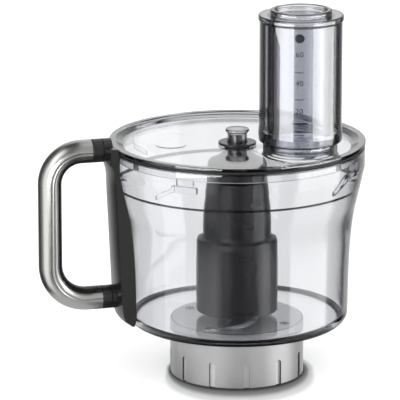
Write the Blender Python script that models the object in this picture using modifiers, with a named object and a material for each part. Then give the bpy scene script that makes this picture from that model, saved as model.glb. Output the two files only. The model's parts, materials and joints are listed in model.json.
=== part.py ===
"""Food processor bowl on its base ring, with a lid, two pushers, a knife and a reduction gear.

Millimetres in the numbers below, metres in the scene. +Z is up and the base rests on Z = 0.
The handle points along -X. Turned pieces are profiles of (radius, height) round their own axis.
"""

import math

import bmesh
import bpy
from mathutils import Matrix, Vector

MM = 0.001
GAP = 0.3

# Overall
LID_RADIUS = 89.0
GRIP_RADIUS = 8.2
GRIP_REACH = 133.4
AXIS_X = (GRIP_REACH + GRIP_RADIUS - LID_RADIUS) / 2

# Bowl
FLOOR_UNDER = 37.4
FLOOR_TOP = 40.4
BOWL_TOP = 163.0
BAND_FOOT = 136.9
RIM_OUTER = 88.7
RIM_INNER = 86.2
TUBE_TOP = 107.0
TUBE_BORE = 7.0
POST_ORBIT = 38.0
POST_RADIUS = 3.5
POST_FOOT = 17.2

# Base
BASE_RADIUS = 46.8
BASE_TOP = 37.1
BASE_WALL = 3.0
DECK_UNDER = 34.1
DECK_HOLE = 9.3
SLOT_COUNT = 12
SLOT_FIRST = math.radians(23)
SLOT_WIDTH = 4.5
SLOT_HEIGHT = 18.0
SLOT_DEPTH = 2.0
PLATE_LOW = 14.0
PLATE_HIGH = 16.9

# Reduction gear: the ring stands still, the sun drives, the carrier turns the knife
MODULE = 1.4
SUN_TEETH = 12
PLANET_TEETH = 15
RING_TEETH = SUN_TEETH + 2 * PLANET_TEETH
PLANETS = 3
ORBIT = MODULE * (SUN_TEETH + PLANET_TEETH) / 2
ADDENDUM = 1.1
DEDENDUM = 1.5
TOOTH_HALF = 0.9
FLANK = math.tan(math.radians(20))
GEAR_LOW = 17.5
GEAR_HIGH = 26.0
CARRIER_LOW = 27.4
CARRIER_HIGH = 30.4
PIN_RADIUS = 2.5
DOG_ROOT = 6.2
DOG_TIP = 9.6
SPINDLE_RADIUS = 4.0
INPUT_RADIUS = 3.0

# Lid and feed tube
LID_TOP = 167.2
LID_UNDER = 164.6
PLATE_TOP = 163.1
PLATE_UNDER = 160.6
PLATE_RADIUS = 79.0
SKIRT_FOOT = 156.1
SKIRT_OUTER = 84.3
SKIRT_INNER = 82.3
BAYONETS = 4
BAYONET_ANGLE = math.radians(-130)
RIB_TOP = 152.0
RIB_HEIGHT = 4.5
RIB_RADIUS = 84.4
RAMP_TURN = math.radians(10.4)
FEED_ORBIT = 51.4
FEED_ANGLE = math.radians(-48.7)
NECK_RADIUS = 25.6
NECK_BORE = 23.4
NECK_TOP = 180.0
SLEEVE_LOW = 172.0
SLEEVE_TOP = 256.6
BUSH_HOLE = 5.3
STEM_RADIUS = 6.85
WASHER_RADIUS = 13.2

# Pushers
PUSHER_TOP = 260.6
PUSHER_LIP = 29.2
PUSHER_RADIUS = 23.0
PUSHER_FOOT = 164.0
PUSHER_BORE = 20.2
CUP_TOP = 264.0
CUP_LIP = 21.0
CUP_RADIUS = 19.6
CUP_FOOT = 164.4

# Knife
HUB_FOOT = 45.0
HUB_TOP = 139.0
HUB_BELL = 28.5
BLADE_THICKNESS = 1.5
BLADE_INNER = 26.8

# Handle
ARM_TOP = 164.7
ARM_LOW = 60.2
GRIP_END_TOP = 104.3
GRIP_END_LOW = 98.1
CORNER_TOP = 22.0
CORNER_LOW = 25.0
LINER_DEPTH = 3.4
BACK_HALF_WIDTH = 15.8
COLLAR_TOP = (96.7, 104.0)
COLLAR_LOW = (91.3, 97.8)
HANDLE_SCREW_DROP = 4.5
HANDLE_HEAD = 3.2
SCREW_SEAT = 3.2

# Facets round a turn
WIDE = 36
MIDDLE = 24
SMALL = 16

FINISHES = {
    "clear": ((0.86, 0.89, 0.90, 1), 0.08, 0.0),
    "base_grey": ((0.42, 0.42, 0.43, 1), 0.45, 0.0),
    "knife_grey": ((0.09, 0.09, 0.10, 1), 0.35, 0.0),
    "handle_dark": ((0.05, 0.05, 0.055, 1), 0.40, 0.0),
    "handle_metal": ((0.72, 0.72, 0.71, 1), 0.28, 1.0),
    "steel": ((0.62, 0.62, 0.63, 1), 0.25, 1.0),
    "bronze": ((0.55, 0.40, 0.22, 1), 0.40, 1.0),
    "nylon": ((0.80, 0.79, 0.74, 1), 0.50, 0.0),
    "seal_rubber": ((0.03, 0.03, 0.03, 1), 0.60, 0.0),
}


def clear_scene():
    for item in list(bpy.data.objects):
        bpy.data.objects.remove(item, do_unlink=True)


def collection(name):
    made = bpy.data.collections.new(name)
    bpy.context.scene.collection.children.link(made)
    return made


def material(name):
    if name in bpy.data.materials:
        return bpy.data.materials[name]
    colour, roughness, metallic = FINISHES[name]
    made = bpy.data.materials.new(name)
    made.use_nodes = True
    shader = made.node_tree.nodes["Principled BSDF"]
    shader.inputs["Base Color"].default_value = colour
    shader.inputs["Roughness"].default_value = roughness
    shader.inputs["Metallic"].default_value = metallic
    return made


def axis(name, x=0.0, y=0.0, parent=None):
    """An empty that stands on a vertical axis, measured in millimetres from its parent's."""
    made = bpy.data.objects.new(name, None)
    PARTS.objects.link(made)
    made.empty_display_size = 10 * MM
    made.parent = parent
    made.location = (x * MM, y * MM, 0)
    return made


def place(made, on, finish):
    """Puts an object on its axis: a part with its finish, or a cutter with none."""
    if finish:
        PARTS.objects.link(made)
        made.data.materials.append(material(finish))
    else:
        CUTTERS.objects.link(made)
        made.hide_render = True
        made.display_type = "WIRE"
    made.parent = on
    return made


def turned(name, profile, steps, on, finish, loop=True):
    """Turns a profile that runs down its outer side. A loop makes a ring, an open one a solid."""
    mesh = bpy.data.meshes.new(name)
    count = len(profile)
    edges = [(i, (i + 1) % count) for i in range(count if loop else count - 1)]
    mesh.from_pydata([(r * MM, 0, z * MM) for r, z in profile], edges, [])
    made = place(bpy.data.objects.new(name, mesh), on, finish)
    screw = made.modifiers.new("Turn", "SCREW")
    screw.steps = steps
    screw.render_steps = steps
    screw.use_merge_vertices = True
    screw.merge_threshold = 0.00005
    screw.use_smooth_shade = True
    return made


def rod(name, radius, low, high, steps, on, finish, at=(0.0, 0.0)):
    """An upright cylinder between two heights."""
    mesh = bpy.data.meshes.new(name)
    shape = bmesh.new()
    bmesh.ops.create_cone(shape, cap_ends=True, segments=steps, radius1=radius * MM,
                          radius2=radius * MM, depth=(high - low) * MM)
    shape.to_mesh(mesh)
    shape.free()
    mesh.shade_smooth()
    mesh.set_sharp_from_angle(angle=math.radians(40))
    made = place(bpy.data.objects.new(name, mesh), on, finish)
    made.location = (at[0] * MM, at[1] * MM, (low + high) / 2 * MM)
    return made


def box(name, size, centre, on, finish, turn=0.0):
    """A box of a size, turned about Z."""
    mesh = bpy.data.meshes.new(name)
    shape = bmesh.new()
    bmesh.ops.create_cube(shape, size=1)
    bmesh.ops.scale(shape, vec=[s * MM for s in size], verts=shape.verts)
    shape.to_mesh(mesh)
    shape.free()
    made = place(bpy.data.objects.new(name, mesh), on, finish)
    made.location = [c * MM for c in centre]
    made.rotation_euler = (0, 0, turn)
    return made


def outline(name, loops, low, high, on, finish):
    """A flat outline with its holes, extruded between two heights, as one welded mesh."""
    curve = bpy.data.curves.new(name + "_outline", "CURVE")
    curve.dimensions = "2D"
    curve.fill_mode = "BOTH"
    curve.extrude = (high - low) / 2 * MM
    for points in loops:
        spline = curve.splines.new("POLY")
        spline.points.add(len(points) - 1)
        for point, (x, y) in zip(spline.points, points):
            point.co = (x * MM, y * MM, 0, 1)
        spline.use_cyclic_u = True
    made = place(as_mesh(bpy.data.objects.new(name, curve)), on, finish)
    made.location = (0, 0, (low + high) / 2 * MM)
    return made


def as_mesh(curved):
    """Changes a curve object into a mesh object whose caps are welded on."""
    bpy.context.scene.collection.objects.link(curved)
    bpy.context.view_layer.update()
    seen = curved.evaluated_get(bpy.context.evaluated_depsgraph_get())
    mesh = bpy.data.meshes.new_from_object(seen)
    mesh.materials.clear()
    name = curved.name
    bpy.data.objects.remove(curved, do_unlink=True)
    shape = bmesh.new()
    shape.from_mesh(mesh)
    bmesh.ops.remove_doubles(shape, verts=shape.verts, dist=0.00002)
    bmesh.ops.recalc_face_normals(shape, faces=shape.faces)
    shape.to_mesh(mesh)
    shape.free()
    mesh.shade_smooth()
    mesh.set_sharp_from_angle(angle=math.radians(35))
    return bpy.data.objects.new(name, mesh)


def joined(name, pieces, on):
    """Gathers separate cutters into one, so that a single Boolean uses them all."""
    shape = bmesh.new()
    for piece in pieces:
        before = len(shape.verts)
        shape.from_mesh(piece.data)
        shape.verts.ensure_lookup_table()
        bmesh.ops.transform(shape, matrix=piece.matrix_basis, verts=shape.verts[before:])
        bpy.data.objects.remove(piece, do_unlink=True)
    mesh = bpy.data.meshes.new(name)
    shape.to_mesh(mesh)
    shape.free()
    return place(bpy.data.objects.new(name, mesh), on, None)


def boolean(part, tool, operation):
    step = part.modifiers.new(tool.name, "BOOLEAN")
    step.operation = operation
    step.object = tool
    step.solver = "EXACT"


def polar(radius, angle):
    return radius * math.cos(angle), radius * math.sin(angle)


def circle(radius, steps):
    return [polar(radius, 2 * math.pi * i / steps) for i in range(steps)]


def corner(centre, radius, start, end, steps):
    """Points on a rounded corner of a profile, with angles in degrees from the +R direction."""
    turns = [math.radians(start + (end - start) * i / steps) for i in range(steps + 1)]
    return [(centre[0] + radius * math.cos(t), centre[1] + radius * math.sin(t)) for t in turns]


def round_about(count, first=0.0):
    return [first + 2 * math.pi * i / count for i in range(count)]


def gear(teeth, inward=False, phase=0.0):
    """A gear's outline with straight flanks. Inward teeth are those of the ring gear."""
    pitch = MODULE * teeth / 2
    side = -1 if inward else 1
    root, tip = pitch - side * DEDENDUM, pitch + side * ADDENDUM
    root_half = (TOOTH_HALF + DEDENDUM * FLANK) / root
    tip_half = (TOOTH_HALF - ADDENDUM * FLANK) / tip
    points = []
    for middle in round_about(teeth, phase):
        points.append(polar(root, middle - root_half))
        points.append(polar(tip, middle - tip_half))
        points.append(polar(tip, middle + tip_half))
        points.append(polar(root, middle + root_half))
    return points


def bush(name, bore, outer, low, high, on, finish):
    profile = [(outer, high), (outer, low), (bore, low), (bore, high)]
    return turned(name, profile, SMALL, on, finish)


def screw(name, head, shank, head_height, length, on, at, tilt=0.0):
    """A screw whose head is underneath, with the seat of the head at its origin."""
    profile = [(0, length), (shank, length), (shank, 0), (head, 0), (head, -head_height),
               (0, -head_height)]
    made = turned(name, profile, 12, on, "steel", loop=False)
    made.location = [a * MM for a in at]
    made.rotation_euler = (0, tilt, 0)
    return made


def make_bowl(on):
    wall = [
        (RIM_OUTER, BOWL_TOP), (RIM_OUTER, 150), (86.9, 141), (84.5, 130), (82.1, 119.4),
        (80.1, 106), (78.4, 82), (77.6, 46),
    ]
    wall += corner((69.9, FLOOR_UNDER + 7.7), 7.7, -10, -90, 3)
    under = [(TUBE_BORE, FLOOR_UNDER)]
    tube = [(TUBE_BORE, TUBE_TOP), (9.5, TUBE_TOP), (11.5, FLOOR_TOP)]
    inside = corner((68.4, FLOOR_TOP + 6.5), 6.5, -90, 0, 2)
    inside += [
        (75.7, 82), (77.3, 106), (80.8, 124), (82.6, BAND_FOOT - 0.5), (84.4, BAND_FOOT),
        (RIM_INNER, 150), (RIM_INNER, BOWL_TOP),
    ]
    bowl = turned("bowl", wall + under + tube + inside, WIDE, on, "clear")

    posts = [rod("post", POST_RADIUS, POST_FOOT, FLOOR_UNDER + 1, 12, on, None, polar(POST_ORBIT, a))
             for a in round_about(4, math.pi / 4)]
    boolean(bowl, joined("bowl_posts", posts, on), "UNION")
    holes = [rod("hole", 1.6, POST_FOOT - 2, POST_FOOT + 12.5, 8, on, None, polar(POST_ORBIT, a))
             for a in round_about(4, math.pi / 4)]
    boolean(bowl, joined("bowl_post_holes", holes, on), "DIFFERENCE")

    flats = [upright_outline(rib_flat(), RIB_RADIUS + 0.6, 3.0, middle, on)
             for middle in round_about(BAYONETS, BAYONET_ANGLE)]
    boolean(bowl, joined("bowl_rib_flats", flats, on), "UNION")
    ramps = [upright_outline(rib_ramp(), RIB_RADIUS, 3.0, middle - RAMP_TURN, on)
             for middle in round_about(BAYONETS, BAYONET_ANGLE)]
    boolean(bowl, joined("bowl_rib_ramps", ramps, on), "UNION")


def upright_outline(points, radius, thickness, angle, on):
    """A cutter that stands upright, facing the axis: points are (along, up), at a radius and angle."""
    made = outline("upright", [points], -thickness / 2, thickness / 2, on, None)
    place_at = Matrix.Translation([c * MM for c in (*polar(radius, angle), 0)])
    made.matrix_basis = (place_at @ Matrix.Rotation(angle + math.pi / 2, 4, "Z")
                         @ Matrix.Rotation(math.pi / 2, 4, "X"))
    return made


def rib_flat():
    """The flat part of a bayonet rib, which the lid's tab stands on."""
    low, high = RIB_TOP - RIB_HEIGHT, RIB_TOP
    return [(-9, low), (9, low), (9, high), (-9, high)]


def rib_ramp():
    """The ramp that leads a tab up to the flat."""
    low, high = RIB_TOP - RIB_HEIGHT, RIB_TOP
    return [(-7.5, low - 7.5), (7.5, low + 1), (7.5, high - 0.5), (-7.5, low - 4.7)]


def make_base(on):
    inner = BASE_RADIUS - BASE_WALL
    profile = [
        (BASE_RADIUS - 0.8, BASE_TOP), (BASE_RADIUS, BASE_TOP - 0.8), (BASE_RADIUS, 0),
        (inner, 0), (inner, POST_FOOT), (inner - 1.5, POST_FOOT), (inner - 1.5, DECK_UNDER),
        (DECK_HOLE, DECK_UNDER), (DECK_HOLE, BASE_TOP),
    ]
    ring = turned("base_ring", profile, WIDE, on, "base_grey")
    slots = [upright_outline(slot_outline(), BASE_RADIUS - SLOT_DEPTH + 2.5, 5.0, middle, on)
             for middle in round_about(SLOT_COUNT, SLOT_FIRST)]
    boolean(ring, joined("grip_slots", slots, on), "DIFFERENCE")
    holes = [rod("hole", POST_RADIUS + GAP, DECK_UNDER - 2, BASE_TOP + 2, 12, on, None,
                 polar(POST_ORBIT, a))
             for a in round_about(4, math.pi / 4)]
    boolean(ring, joined("deck_holes", holes, on), "DIFFERENCE")


def slot_outline():
    """A grip slot: straight sides from below the rim, with a round top."""
    half = SLOT_WIDTH / 2
    return corner((0, SLOT_HEIGHT - half), half, 0, 180, 6) + [(-half, -2), (half, -2)]


def make_base_plate(on):
    plate = turned("base_plate", [(43.2, PLATE_HIGH), (43.2, PLATE_LOW), (6.3, PLATE_LOW),
                                  (6.3, PLATE_HIGH)], WIDE, on, "nylon")
    corners = [polar(POST_ORBIT, a) for a in round_about(4, math.pi / 4)]
    holes = [rod("hole", 1.9, PLATE_LOW - 2, PLATE_HIGH + 2, 8, on, None, at) for at in corners]
    boolean(plate, joined("base_plate_holes", holes, on), "DIFFERENCE")
    for number, at in enumerate(corners, 1):
        screw(f"base_screw_{number}", 3.2, 1.3, 2.0, 14.0, on, (*at, PLATE_LOW - GAP))


def make_gears(on, spindle, sun):
    ring = turned("ring_gear", [(33.4, 27), (33.4, 19.7), (41.6, 19.7), (41.6, POST_FOOT),
                                (27, POST_FOOT), (27, 27)], WIDE, on, "nylon")
    teeth = outline("ring_teeth", [gear(RING_TEETH, inward=True, phase=math.pi / RING_TEETH)],
                    POST_FOOT - 2, 29, on, None)
    boolean(ring, teeth, "DIFFERENCE")
    notches = [rod("notch", POST_RADIUS + GAP, POST_FOOT - 2, 21.7, 12, on, None, polar(POST_ORBIT, a))
               for a in round_about(4, math.pi / 4)]
    boolean(ring, joined("ring_gear_notches", notches, on), "DIFFERENCE")

    outline("sun_gear", [gear(SUN_TEETH), circle(INPUT_RADIUS + GAP, 12)], GEAR_LOW, GEAR_HIGH, sun,
            "steel")
    for number, angle in enumerate(round_about(PLANETS), 1):
        x, y = polar(ORBIT, angle)
        own = axis(f"planet_axis_{number}", x, y, spindle)
        planet = outline(f"planet_gear_{number}", [gear(PLANET_TEETH), circle(PIN_RADIUS + GAP, 12)],
                         GEAR_LOW, GEAR_HIGH, own, "nylon")
        rolled = angle * (1 + SUN_TEETH / PLANET_TEETH) + math.pi - math.pi / PLANET_TEETH
        planet.rotation_euler = (0, 0, rolled)
        rod(f"planet_pin_{number}", PIN_RADIUS, GEAR_LOW + 0.2, CARRIER_HIGH, 12, spindle, "steel",
            (x, y))

    carrier = turned("planet_carrier",
                     [(8, 32.4), (8, CARRIER_HIGH), (24.5, CARRIER_HIGH), (24.5, CARRIER_LOW),
                      (SPINDLE_RADIUS + GAP, CARRIER_LOW), (SPINDLE_RADIUS + GAP, 32.4)],
                     MIDDLE, spindle, "steel")
    holes = [rod("hole", PIN_RADIUS + GAP, CARRIER_LOW - 1, CARRIER_HIGH + 1, 12, on, None,
                 polar(ORBIT, a))
             for a in round_about(PLANETS)]
    boolean(carrier, joined("carrier_holes", holes, spindle), "DIFFERENCE")


def make_drive(on, spindle, sun):
    bush("deck_bush", SPINDLE_RADIUS + GAP, DECK_HOLE - GAP, 33.2, BASE_TOP, on, "bronze")
    bush("tube_bush", SPINDLE_RADIUS + GAP, TUBE_BORE - GAP, 94, TUBE_TOP, on, "bronze")
    bush("spindle_seal", SPINDLE_RADIUS + GAP, 8.6, TUBE_TOP + GAP, 110, on, "seal_rubber")
    shaft = rod("spindle_shaft", SPINDLE_RADIUS, CARRIER_LOW, 116, SMALL, spindle, "steel")
    boolean(shaft, rod("shaft_hexagon", SPINDLE_RADIUS + 0.4, 114, 130, 6, spindle, None), "UNION")

    bush("input_bush", INPUT_RADIUS + GAP, 6.0, 13.4, 17.2, on, "bronze")
    rod("input_shaft", INPUT_RADIUS, 4.5, GEAR_HIGH + 0.4, SMALL, sun, "steel")
    star = []
    for middle in round_about(6):
        star += [polar(DOG_ROOT, middle - 0.33), polar(DOG_TIP, middle - 0.17),
                 polar(DOG_TIP, middle + 0.17), polar(DOG_ROOT, middle + 0.33)]
    outline("drive_dog", [star, circle(INPUT_RADIUS + GAP, 12)], 4, 13, sun, "steel")


def make_knife(on):
    top = HUB_TOP
    hub = turned(
        "knife_hub",
        [(0, top), (20.4, top), (21.2, top - 1), (23.3, 119), (23.8, 99), (25, 97),
         (HUB_BELL - 1, 95), (HUB_BELL, 92), (HUB_BELL, HUB_FOOT), (HUB_BELL - 2.4, HUB_FOOT),
         (HUB_BELL - 2.4, 92), (20, 95), (20, 108), (16, 113), (0, 113)],
        MIDDLE, on, "knife_grey", loop=False)
    boolean(hub, rod("hub_socket", SPINDLE_RADIUS + 0.8, 111, 132, 6, on, None), "DIFFERENCE")
    turned(
        "hub_cap",
        [(0, 169), (3, 169), (3, 159.8), (9, 159.8), (9, 156.5), (13.5, 152.8), (19.8, 149.8),
         (20.6, 147.5), (21, top + GAP), (0, top + GAP)],
        MIDDLE, on, "knife_grey", loop=False)
    for name, azimuth, height, tip in (
        ("lower_blade", -96, 47.0, 71.0), ("upper_blade", 84, 66.0, 66.0),
    ):
        along = math.radians(azimuth)
        blade = outline(name, [blade_outline(tip, along)], height, height + BLADE_THICKNESS, on, "steel")
        blade.data.shade_flat()
        slot = box(name + "_slot", (12, 18 + 2 * GAP, BLADE_THICKNESS + 2 * GAP),
                   (*polar(BLADE_INNER, along), height + BLADE_THICKNESS / 2), on, None, turn=along)
        boolean(hub, slot, "DIFFERENCE")


def blade_outline(tip, along):
    """A blade from its tang in the hub wall to its swept-back point, edge first."""
    tang, half, sweep, steps = 33.0, 9.0, math.radians(-30), 7
    edge, back = [], []
    for i in range(steps + 1):
        share = i / steps
        radius = tang + (tip - tang) * share
        middle = along + sweep * share ** 1.6
        width = half * (1 - share ** 2.2) / radius
        back.append(polar(radius, middle - width))
        if share < 1:
            edge.append(polar(radius, middle + width))
    across = Vector((-math.sin(along), math.cos(along)))
    root = Vector(polar(BLADE_INNER, along))
    return [tuple(root + across * half)] + edge + back[::-1] + [tuple(root - across * half)]


def make_lid(seal, on, feed):
    turned("lid_seal", [(88.4, LID_UNDER - GAP), (88.4, BOWL_TOP + GAP), (84.7, BOWL_TOP + GAP),
                        (84.7, LID_UNDER - GAP)], WIDE, seal, "seal_rubber")
    lid = turned(
        "lid",
        [(LID_RADIUS - 0.5, LID_TOP), (LID_RADIUS, LID_TOP - 0.5), (LID_RADIUS, LID_UNDER),
         (SKIRT_OUTER, LID_UNDER), (SKIRT_OUTER, SKIRT_FOOT), (SKIRT_INNER, SKIRT_FOOT),
         (SKIRT_INNER, PLATE_TOP), (PLATE_RADIUS, PLATE_UNDER), (BUSH_HOLE, PLATE_UNDER),
         (BUSH_HOLE, PLATE_TOP), (PLATE_RADIUS, PLATE_TOP), (84.6, LID_TOP)],
        WIDE, on, "clear")
    tabs = [box("tab", (2.5, 12, 5.1), (*polar(83.75, a), RIB_TOP + GAP + 2.55), on, None, turn=a)
            for a in round_about(BAYONETS, BAYONET_ANGLE)]
    boolean(lid, joined("lid_tabs", tabs, on), "UNION")
    neck = rod("lid_neck", NECK_RADIUS, PLATE_UNDER + 0.5, NECK_TOP, MIDDLE, feed, None)
    boolean(lid, neck, "UNION")
    bore = rod("neck_bore", NECK_BORE, PLATE_UNDER - 5, NECK_TOP + 5, MIDDLE, feed, None)
    boolean(lid, bore, "DIFFERENCE")
    turned(
        "feed_tube",
        [(27.7, SLEEVE_TOP), (28.3, SLEEVE_TOP - 0.6), (28.3, 186), (28.9, 178), (28.3, 173.6),
         (26.8, SLEEVE_LOW), (NECK_RADIUS + GAP, SLEEVE_LOW), (NECK_RADIUS + GAP, SLEEVE_TOP)],
        MIDDLE, feed, "clear")
    turned(
        "lid_boss",
        [(0, 174.6), (7.8, 174.6), (8.4, 174), (8.4, 172.2), (STEM_RADIUS, 171.2),
         (STEM_RADIUS, PLATE_TOP + GAP), (BUSH_HOLE, PLATE_TOP + GAP), (BUSH_HOLE, 171.4), (0, 171.4)],
        SMALL, on, "clear", loop=False)
    turned(
        "boss_washer",
        [(WASHER_RADIUS - 0.4, 165), (WASHER_RADIUS, 164.6), (WASHER_RADIUS, PLATE_TOP + GAP),
         (STEM_RADIUS + GAP, PLATE_TOP + GAP), (STEM_RADIUS + GAP, 165)],
        MIDDLE, on, "knife_grey")
    bush("lid_bush", 3.3, BUSH_HOLE - GAP, PLATE_UNDER, 171.0, on, "steel")


def make_pushers(large, small):
    bore = PUSHER_RADIUS - 2
    turned(
        "large_pusher",
        [(28.6, PUSHER_TOP), (PUSHER_LIP, PUSHER_TOP - 0.6), (PUSHER_LIP, SLEEVE_TOP + GAP),
         (PUSHER_RADIUS, SLEEVE_TOP + GAP), (PUSHER_RADIUS, PUSHER_FOOT), (PUSHER_BORE, PUSHER_FOOT),
         (PUSHER_BORE, PUSHER_FOOT + 2), (bore, PUSHER_FOOT + 2), (bore, PUSHER_TOP - 2.4),
         (PUSHER_BORE, PUSHER_TOP - 1.6), (PUSHER_BORE, PUSHER_TOP)],
        MIDDLE, large, "clear")
    inside = CUP_RADIUS - 1.8
    turned(
        "small_pusher",
        [(0, CUP_FOOT + 2), (inside, CUP_FOOT + 2), (inside, CUP_TOP), (CUP_LIP - 0.4, CUP_TOP),
         (CUP_LIP, CUP_TOP - 0.5), (CUP_LIP, PUSHER_TOP + GAP), (CUP_RADIUS, PUSHER_TOP + GAP),
         (CUP_RADIUS, CUP_FOOT), (0, CUP_FOOT)],
        MIDDLE, small, "clear", loop=False)


def make_back_plate(on):
    """The dark plate along the bowl wall: a turned band, trimmed to its width, with two bosses."""
    band = turned(
        "handle_back_plate",
        [(95, 168.5), (95, 158), (91.6, 147), (91.2, 133), (89.9, 106), (88.5, 75), (86.8, 49),
         (82, 42.4), (79.3, 41.4), (77.9, 46), (78.7, 82), (80.4, 106), (82.4, 119.4), (84.8, 130), (87.2, 141),
         (89, 150), (89, 163.4), (89.5, 164.2), (89.5, 168)],
        WIDE, on, "handle_dark")
    trim = box("back_trim", (60, 2 * BACK_HALF_WIDTH, 200), (-90, 0, 100), on, None)
    boolean(band, trim, "INTERSECT")
    shoulder = [lying_rod("shoulder_top", GRIP_RADIUS, 90.4, COLLAR_TOP[0] - GAP, ARM_TOP, 20, on),
                lying_rod("shoulder_low", GRIP_RADIUS, 83.5, COLLAR_LOW[0] - GAP, ARM_LOW, 20, on)]
    boolean(band, joined("back_shoulders", shoulder, on), "UNION")
    for name, end, height in (
        ("top", COLLAR_TOP[0], ARM_TOP - HANDLE_SCREW_DROP), ("low", COLLAR_LOW[0], ARM_LOW),
    ):
        boolean(band, lying_rod(f"back_bore_{name}", 2.0, 70, end + 2, height, 10, on), "DIFFERENCE")
        seat = lying_rod(f"back_seat_{name}", HANDLE_HEAD + 0.4, 70, end - SCREW_SEAT, height, 12, on)
        boolean(band, seat, "DIFFERENCE")


def lying_rod(name, radius, near, far, height, steps, on):
    """A cutter or lug along -X between two distances from the bowl's axis."""
    made = rod(name, radius, 0, far - near, steps, on, None)
    made.matrix_basis = (Matrix.Translation((-(near + far) / 2 * MM, 0, height * MM))
                         @ Matrix.Rotation(math.pi / 2, 4, "Y"))
    return made


def grip_path():
    """Middle line of the grip from the upper collar round to the lower one: distance, height."""
    top = corner((GRIP_REACH - CORNER_TOP, ARM_TOP - CORNER_TOP), CORNER_TOP, 90, 0, 6)
    low = corner((GRIP_REACH - CORNER_LOW, ARM_LOW + CORNER_LOW), CORNER_LOW, 0, -90, 6)
    return [(GRIP_END_TOP, ARM_TOP)] + top + low + [(GRIP_END_LOW, ARM_LOW)]


def grip_piece(name, section, on, finish):
    """Sweeps a section along the grip's middle line. Section +X is the side next to the bowl."""
    guide = bpy.data.curves.new(name + "_section", "CURVE")
    guide.dimensions = "2D"
    shape = guide.splines.new("POLY")
    shape.points.add(len(section) - 1)
    for point, (x, y) in zip(shape.points, section):
        point.co = (x * MM, y * MM, 0, 1)
    shape.use_cyclic_u = True
    holder = bpy.data.objects.new(name + "_section", guide)
    bpy.context.scene.collection.objects.link(holder)

    curve = bpy.data.curves.new(name, "CURVE")
    curve.dimensions = "2D"
    curve.bevel_mode = "OBJECT"
    curve.bevel_object = holder
    curve.use_fill_caps = True
    path = grip_path()
    line = curve.splines.new("POLY")
    line.points.add(len(path) - 1)
    for point, (distance, height) in zip(line.points, path):
        point.co = (-distance * MM, height * MM, 0, 1)
    made = place(as_mesh(bpy.data.objects.new(name, curve)), on, finish)
    bpy.data.objects.remove(holder, do_unlink=True)
    made.rotation_euler = (math.pi / 2, 0, 0)
    return made


def make_handle(on):
    make_back_plate(on)
    flat = GRIP_RADIUS - LINER_DEPTH
    limit = math.acos(flat / GRIP_RADIUS)
    shell = [polar(GRIP_RADIUS, limit + (2 * math.pi - 2 * limit) * i / 14) for i in range(15)]
    edge = math.acos((flat + GAP) / GRIP_RADIUS)
    strip = [polar(GRIP_RADIUS, -edge + 2 * edge * i / 6) for i in range(7)]
    grip = grip_piece("handle_grip", shell, on, "handle_metal")
    grip_piece("grip_liner", strip, on, "handle_dark")
    for name, (near, far), height, drop in (
        ("upper", COLLAR_TOP, ARM_TOP, HANDLE_SCREW_DROP), ("lower", COLLAR_LOW, ARM_LOW, 0.0),
    ):
        profile = [(0, far - near), (GRIP_RADIUS, far - near), (GRIP_RADIUS, 0), (0, 0)]
        collar = turned(f"{name}_collar", profile, 20, on, "handle_dark", loop=False)
        collar.location = (-near * MM, 0, height * MM)
        collar.rotation_euler = (0, -math.pi / 2, 0)
        bore = lying_rod(f"{name}_collar_bore", 2.0, near - 2, far + 2, height - drop, 10, on)
        boolean(collar, bore, "DIFFERENCE")
        pilot = lying_rod(f"{name}_grip_pilot", 1.9, far - 2, far + 13, height - drop, 10, on)
        boolean(grip, pilot, "DIFFERENCE")
        seat = (-(near - SCREW_SEAT - GAP), 0, height - drop)
        screw(f"{name}_handle_screw", HANDLE_HEAD, 1.6, 2.0, 17.0, on, seat, -math.pi / 2)


def build():
    clear_scene()
    bowl_axis = axis("bowl_axis", AXIS_X)
    spindle_axis = axis("spindle_axis", parent=bowl_axis)
    sun_axis = axis("sun_axis", parent=bowl_axis)
    seal_axis = axis("lid_seal_axis", parent=bowl_axis)
    lid_axis = axis("lid_axis", parent=seal_axis)
    feed_axis = axis("feed_axis", *polar(FEED_ORBIT, FEED_ANGLE), parent=lid_axis)
    large_axis = axis("large_pusher_axis", parent=feed_axis)
    small_axis = axis("small_pusher_axis", parent=large_axis)
    make_bowl(bowl_axis)
    make_base(bowl_axis)
    make_base_plate(bowl_axis)
    make_gears(bowl_axis, spindle_axis, sun_axis)
    make_drive(bowl_axis, spindle_axis, sun_axis)
    make_knife(spindle_axis)
    make_lid(seal_axis, lid_axis, feed_axis)
    make_pushers(large_axis, small_axis)
    make_handle(bowl_axis)


PARTS = collection("food_processor")
CUTTERS = collection("cutters")
build()
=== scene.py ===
"""Looks of the food processor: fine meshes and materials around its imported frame.

Metres in the scene, millimetres in the profiles. A profile is a list of (radius, height) points
that runs down the outer side of a turned piece. A third number rounds that corner.
"""

import json
import math

import bmesh
import bpy
from mathutils import Matrix, Vector


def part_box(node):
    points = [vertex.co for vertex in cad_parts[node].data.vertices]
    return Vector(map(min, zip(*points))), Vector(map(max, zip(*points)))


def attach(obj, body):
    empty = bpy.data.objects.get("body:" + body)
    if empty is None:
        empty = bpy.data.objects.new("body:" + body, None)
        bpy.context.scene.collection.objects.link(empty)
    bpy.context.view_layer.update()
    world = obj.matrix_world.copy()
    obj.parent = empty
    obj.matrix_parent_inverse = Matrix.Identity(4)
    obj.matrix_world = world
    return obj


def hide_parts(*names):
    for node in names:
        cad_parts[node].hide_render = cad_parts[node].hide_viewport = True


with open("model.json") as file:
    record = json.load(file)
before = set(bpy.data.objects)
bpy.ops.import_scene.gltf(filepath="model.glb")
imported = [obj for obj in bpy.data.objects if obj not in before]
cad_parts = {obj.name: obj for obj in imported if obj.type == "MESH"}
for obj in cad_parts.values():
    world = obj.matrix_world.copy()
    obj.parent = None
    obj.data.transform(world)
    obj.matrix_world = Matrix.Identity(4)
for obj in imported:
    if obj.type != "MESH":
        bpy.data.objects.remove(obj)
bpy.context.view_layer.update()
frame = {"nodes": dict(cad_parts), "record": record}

MM = 0.001
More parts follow.
